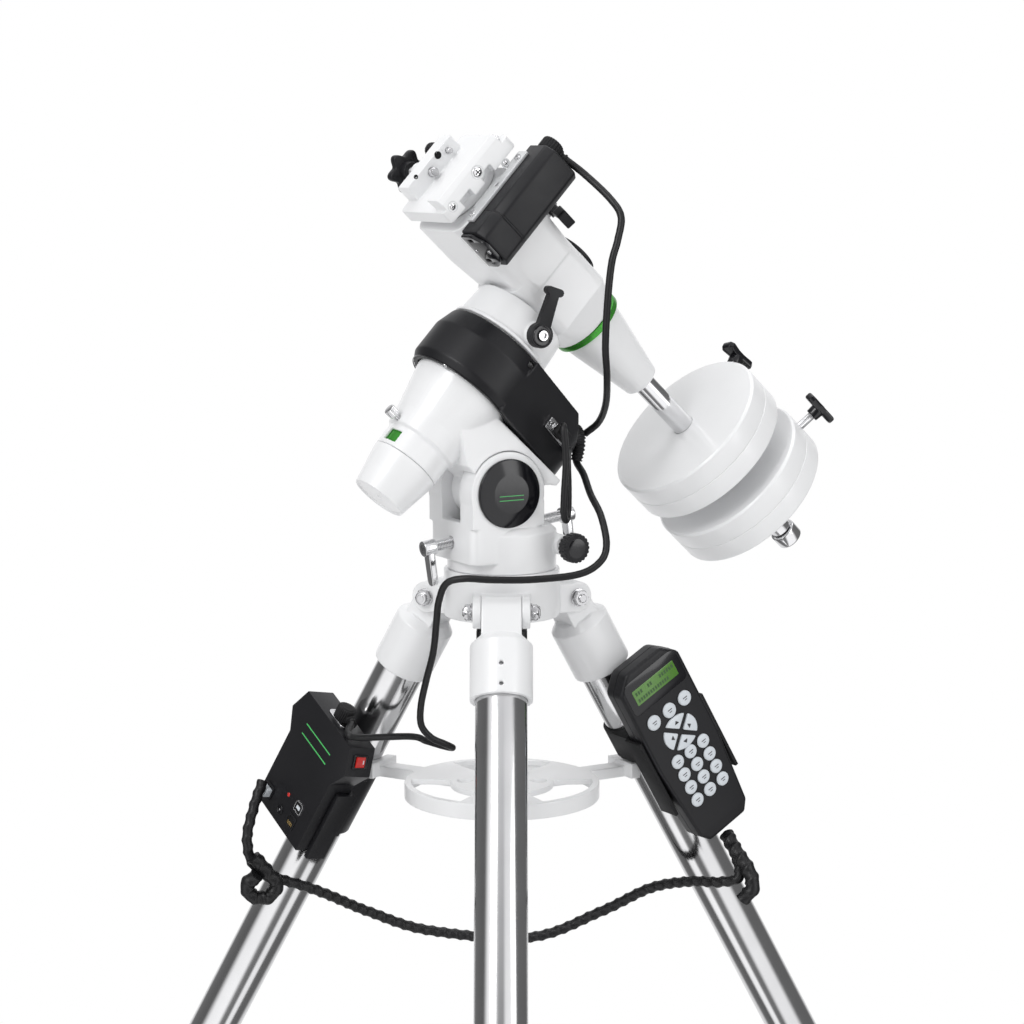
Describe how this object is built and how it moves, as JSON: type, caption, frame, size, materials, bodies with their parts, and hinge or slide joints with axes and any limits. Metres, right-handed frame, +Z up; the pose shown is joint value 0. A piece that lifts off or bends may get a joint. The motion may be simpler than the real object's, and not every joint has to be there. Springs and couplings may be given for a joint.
{
  "type": "equatorial mount",
  "caption": "Motorised German equatorial mount on a folding tripod, with dovetail saddle, counterweights, tray, control box and hand controller.",
  "frame": {"origin": "on the floor under the azimuth axis", "axes": "+Z up; north, where the polar axis leans, is 30 degrees from +X towards +Y; the front leg points along -Y"},
  "size_m": [0.8258, 0.7206, 1.0745],
  "materials": {
    "white_paint": "gloss enamel on cast metal",
    "polished_steel": "polished stainless tube",
    "chrome": "bright plating",
    "black_plastic": "fine moulded texture",
    "brass": "machined",
    "green_anodised": "anodised",
    "motor_steel": "plated can",
    "red_plastic": "moulded",
    "key_rubber": "translucent silicone",
    "cable_jacket": "satin"
  },
  "bodies": {
    "tripod_head": {"tripod_hub": "white_paint", "hinge_bolts": "chrome", "control_cable": "cable_jacket", "handset_cable": "cable_jacket"},
    "lock_screw": {"lock_rod": "chrome"},
    "tray": {"accessory_tray": "white_paint"},
    "tray_nut": {"tray_knob": "black_plastic"},
    "azimuth_base": {"base_casting": "white_paint", "altitude_pivot": "polished_steel"},
    "azimuth_studs": {"azimuth_studs": "chrome"},
    "azimuth_knobs": {"azimuth_knobs": "black_plastic"},
    "altitude_studs": {"altitude_studs": "chrome"},
    "altitude_handles": {"altitude_handles": "chrome"},
    "polar_body": {"ra_housing": "white_paint", "ra_motor_cover": "black_plastic", "ra_motor": "motor_steel"},
    "ra_worm": {"ra_worm": "brass"},
    "date_circle": {"date_circle": "green_anodised"},
    "date_screw": {"date_screw": "chrome"},
    "polar_cap": {"polar_cap": "white_paint"},
    "ra_body": {"ra_shaft": "polished_steel", "ra_upper_body": "white_paint", "dec_housing": "white_paint", "dec_motor_box": "black_plastic", "dec_cable": "cable_jacket"},
    "ra_clutch": {"ra_clutch_lever": "black_plastic"},
    "dec_clutch": {"dec_clutch_lever": "black_plastic"},
    "front_cap": {"front_cap": "black_plastic"},
    "dec_worm": {"dec_worm": "brass"},
    "dec_body": {"dec_shaft": "polished_steel", "dec_circle": "green_anodised", "saddle": "white_paint", "shaft_cone": "white_paint", "counterweight_bar": "polished_steel"},
    "saddle_knob": {"saddle_knob": "black_plastic"},
    "safety_screw": {"safety_screw": "chrome"},
    "upper_weight": {"upper_weight": "white_paint"},
    "lower_weight": {"lower_weight": "white_paint"},
    "upper_weight_knob": {"upper_weight_knob": "black_plastic"},
    "lower_weight_knob": {"lower_weight_knob": "black_plastic"},
    "switch": {"power_switch": "red_plastic"},
    "handset": {"hand_controller": "black_plastic"},
    "key_mat": {"keypad": "key_rubber"},
    "front_leg": {"front_leg_casting": "white_paint", "front_upper_tube": "polished_steel", "front_leg_clamp": "black_plastic"},
    "front_extension": {"front_lower_leg": "polished_steel"},
    "front_leg_screw": {"front_leg_knob": "black_plastic"},
    "right_leg": {"right_leg_casting": "white_paint", "right_upper_tube": "polished_steel", "right_leg_clamp": "black_plastic", "hand_cradle": "black_plastic"},
    "right_extension": {"right_lower_leg": "polished_steel"},
    "right_leg_screw": {"right_leg_knob": "black_plastic"},
    "left_leg": {"left_leg_casting": "white_paint", "left_upper_tube": "polished_steel", "left_leg_clamp": "black_plastic", "control_box": "black_plastic"},
    "left_extension": {"left_lower_leg": "polished_steel"},
    "left_leg_screw": {"left_leg_knob": "black_plastic"}
  },
  "joints": [
    {"name": "azimuth_turn", "type": "hinge", "parent": "tripod_head", "child": "azimuth_base", "pos_m": [0, 0, 0.7], "axis": [0, 0, 1], "range_deg": [-8, 8], "deforming": ["control_cable"]},
    {"name": "azimuth_screw_travel", "type": "slide", "parent": "azimuth_base", "child": "azimuth_studs", "axis": [-0.5, 0.866, 0], "range_m": [-0.0055, 0.0055]},
    {"name": "azimuth_knob_turn", "type": "hinge", "parent": "azimuth_studs", "child": "azimuth_knobs", "pos_m": [0.03291, 0.019, 0.71902], "axis": [-0.5, 0.866, 0], "range_deg": [-1600, 1600]},
    {"name": "altitude_tilt", "type": "hinge", "parent": "azimuth_base", "child": "polar_body", "pos_m": [-0.01386, -0.008, 0.768], "axis": [0.5, -0.866, 0], "range_deg": [-17, 18]},
    {"name": "altitude_screw_travel", "type": "slide", "parent": "azimuth_base", "child": "altitude_studs", "axis": [0.8576, 0.4951, 0.1392], "range_m": [-0.0125, 0.013]},
    {"name": "altitude_handle_turn", "type": "hinge", "parent": "altitude_studs", "child": "altitude_handles", "pos_m": [-0.00904, -0.00522, 0.72839], "axis": [0.8576, 0.4951, 0.1392], "range_deg": [-3100, 3100]},
    {"name": "ra_turn", "type": "hinge", "parent": "polar_body", "child": "ra_body", "pos_m": [0.04019, 0.0232, 0.94636], "axis": [0.5906, 0.341, 0.7314], "range_deg": [-90, 90], "deforming": ["dec_cable"]},
    {"name": "ra_worm_turn", "type": "hinge", "parent": "polar_body", "child": "ra_worm", "pos_m": [0.0082, 0.00473, 0.84407], "axis": [-0.5, 0.866, 0], "range_deg": [-13000, 13000]},
    {"name": "date_circle_turn", "type": "hinge", "parent": "polar_body", "child": "date_circle", "pos_m": [-0.07676, -0.04432, 0.80155], "axis": [0.5906, 0.341, 0.7314], "continuous": true},
    {"name": "date_screw_turn", "type": "hinge", "parent": "polar_body", "child": "date_screw", "pos_m": [-0.08549, -0.05398, 0.83225], "axis": [-0.6334, -0.3657, 0.682], "range_deg": [-180, 180]},
    {"name": "polar_cap_off", "type": "slide", "parent": "polar_body", "child": "polar_cap", "axis": [-0.5906, -0.341, -0.7314], "range_m": [0, 0.06]},
    {"name": "ra_clutch_swing", "type": "hinge", "parent": "ra_body", "child": "ra_clutch", "pos_m": [0.03065, -0.03657, 0.90399], "axis": [0.5, -0.866, 0], "range_deg": [-20, 70]},
    {"name": "dec_clutch_swing", "type": "hinge", "parent": "ra_body", "child": "dec_clutch", "pos_m": [0.03702, 0.00518, 1.01], "axis": [0.726, 0.0242, 0.6872], "range_deg": [-35, 35]},
    {"name": "front_cap_off", "type": "slide", "parent": "ra_body", "child": "front_cap", "axis": [0.5906, 0.341, 0.7314], "range_m": [0, 0.03]},
    {"name": "dec_turn", "type": "hinge", "parent": "ra_body", "child": "dec_body", "pos_m": [0.04019, 0.0232, 0.94636], "axis": [-0.6334, -0.3657, 0.682], "continuous": true},
    {"name": "dec_worm_turn", "type": "hinge", "parent": "ra_body", "child": "dec_worm", "pos_m": [-0.00198, -0.04127, 1.01046], "axis": [0.5906, 0.341, 0.7314], "continuous": true},
    {"name": "saddle_knob_turn", "type": "hinge", "parent": "dec_body", "child": "saddle_knob", "pos_m": [-0.07749, 0.02224, 1.04184], "axis": [-0.5, 0.866, 0], "range_deg": [-360, 0]},
    {"name": "safety_screw_turn", "type": "hinge", "parent": "dec_body", "child": "safety_screw", "pos_m": [-0.05694, 0.01793, 1.06007], "axis": [-0.5, 0.866, 0], "range_deg": [-360, 0]},
    {"name": "upper_weight_slide", "type": "slide", "parent": "dec_body", "child": "upper_weight", "axis": [0.6334, 0.3657, -0.682], "range_m": [-0.055, 0.02]},
    {"name": "lower_weight_slide", "type": "slide", "parent": "dec_body", "child": "lower_weight", "axis": [0.6334, 0.3657, -0.682], "range_m": [-0.02, 0.04]},
    {"name": "upper_weight_knob_turn", "type": "hinge", "parent": "upper_weight", "child": "upper_weight_knob", "pos_m": [0.21489, 0.15671, 0.86201], "axis": [0.4072, 0.5919, 0.6956], "range_deg": [-360, 0]},
    {"name": "lower_weight_knob_turn", "type": "hinge", "parent": "lower_weight", "child": "lower_weight_knob", "pos_m": [0.28501, 0.12669, 0.81719], "axis": [0.7306, 0.008, 0.6828], "range_deg": [-360, 0]},
    {"name": "lock_rod_turn", "type": "hinge", "parent": "tripod_head", "child": "lock_screw", "pos_m": [0, 0, 0.62], "axis": [0, 0, 1], "range_deg": [-360, 0]},
    {"name": "front_leg_fold", "type": "hinge", "parent": "tripod_head", "child": "front_leg", "pos_m": [0, -0.064, 0.668], "axis": [-1, 0, 0], "range_deg": [-30, 0], "deforming": ["handset_cable"]},
    {"name": "front_leg_extend", "type": "slide", "parent": "front_leg", "child": "front_extension", "axis": [0, -0.5, -0.866], "range_m": [0, 0.5]},
    {"name": "front_leg_knob_turn", "type": "hinge", "parent": "front_leg", "child": "front_leg_screw", "pos_m": [0, -0.40418, 0.1508], "axis": [0, -0.866, 0.5], "range_deg": [-360, 0]},
    {"name": "right_leg_fold", "type": "hinge", "parent": "tripod_head", "child": "right_leg", "pos_m": [0.05543, 0.032, 0.668], "axis": [0.5, -0.866, 0], "range_deg": [-30, 0]},
    {"name": "right_leg_extend", "type": "slide", "parent": "right_leg", "child": "right_extension", "axis": [0.433, 0.25, -0.866], "range_m": [0, 0.5]},
    {"name": "right_leg_knob_turn", "type": "hinge", "parent": "right_leg", "child": "right_leg_screw", "pos_m": [0.35003, 0.20209, 0.1508], "axis": [0.75, 0.433, 0.5], "range_deg": [-360, 0]},
    {"name": "left_leg_fold", "type": "hinge", "parent": "tripod_head", "child": "left_leg", "pos_m": [-0.05543, 0.032, 0.668], "axis": [0.5, 0.866, 0], "range_deg": [-30, 0]},
    {"name": "left_leg_extend", "type": "slide", "parent": "left_leg", "child": "left_extension", "axis": [-0.433, 0.25, -0.866], "range_m": [0, 0.5]},
    {"name": "left_leg_knob_turn", "type": "hinge", "parent": "left_leg", "child": "left_leg_screw", "pos_m": [-0.35003, 0.20209, 0.1508], "axis": [-0.75, 0.433, 0.5], "range_deg": [-360, 0]},
    {"name": "tray_drop", "type": "slide", "parent": "tripod_head", "child": "tray", "axis": [0, 0, 1], "range_m": [-0.82, 0]},
    {"name": "tray_knob_turn", "type": "hinge", "parent": "tray", "child": "tray_nut", "pos_m": [0, 0, 0.47], "axis": [0, 0, 1], "range_deg": [-360, 0]},
    {"name": "power_switch_rock", "type": "hinge", "parent": "left_leg", "child": "switch", "pos_m": [-0.12674, -0.00286, 0.52167], "axis": [-0.2048, -0.053, -0.9774], "range_deg": [-7, 0]},
    {"name": "handset_lift", "type": "slide", "parent": "right_leg", "child": "handset", "axis": [-0.433, -0.25, 0.866], "range_m": [0, 0.06]},
    {"name": "keypad_press", "type": "slide", "parent": "handset", "child": "key_mat", "axis": [0.5195, -0.8544, 0.0131], "range_m": [-0.0008, 0]}
  ],
  "couplings": [
    {"joint": "azimuth_screw_travel", "follows": "azimuth_turn", "m_per_rad": -0.038},
    {"joint": "azimuth_knob_turn", "follows": "azimuth_turn", "ratio": -191.01},
    {"joint": "altitude_screw_travel", "follows": "altitude_tilt", "m_per_rad": 0.0395},
    {"joint": "altitude_handle_turn", "follows": "altitude_tilt", "ratio": 165.46},
    {"joint": "ra_worm_turn", "follows": "ra_turn", "ratio": 144},
    {"joint": "dec_worm_turn", "follows": "dec_turn", "ratio": 144},
    {"joint": "right_leg_fold", "follows": "front_leg_fold", "ratio": 1},
    {"joint": "left_leg_fold", "follows": "front_leg_fold", "ratio": 1},
    {"joint": "tray_drop", "follows": "front_leg_fold", "m_per_rad": 1.56}
  ]
}
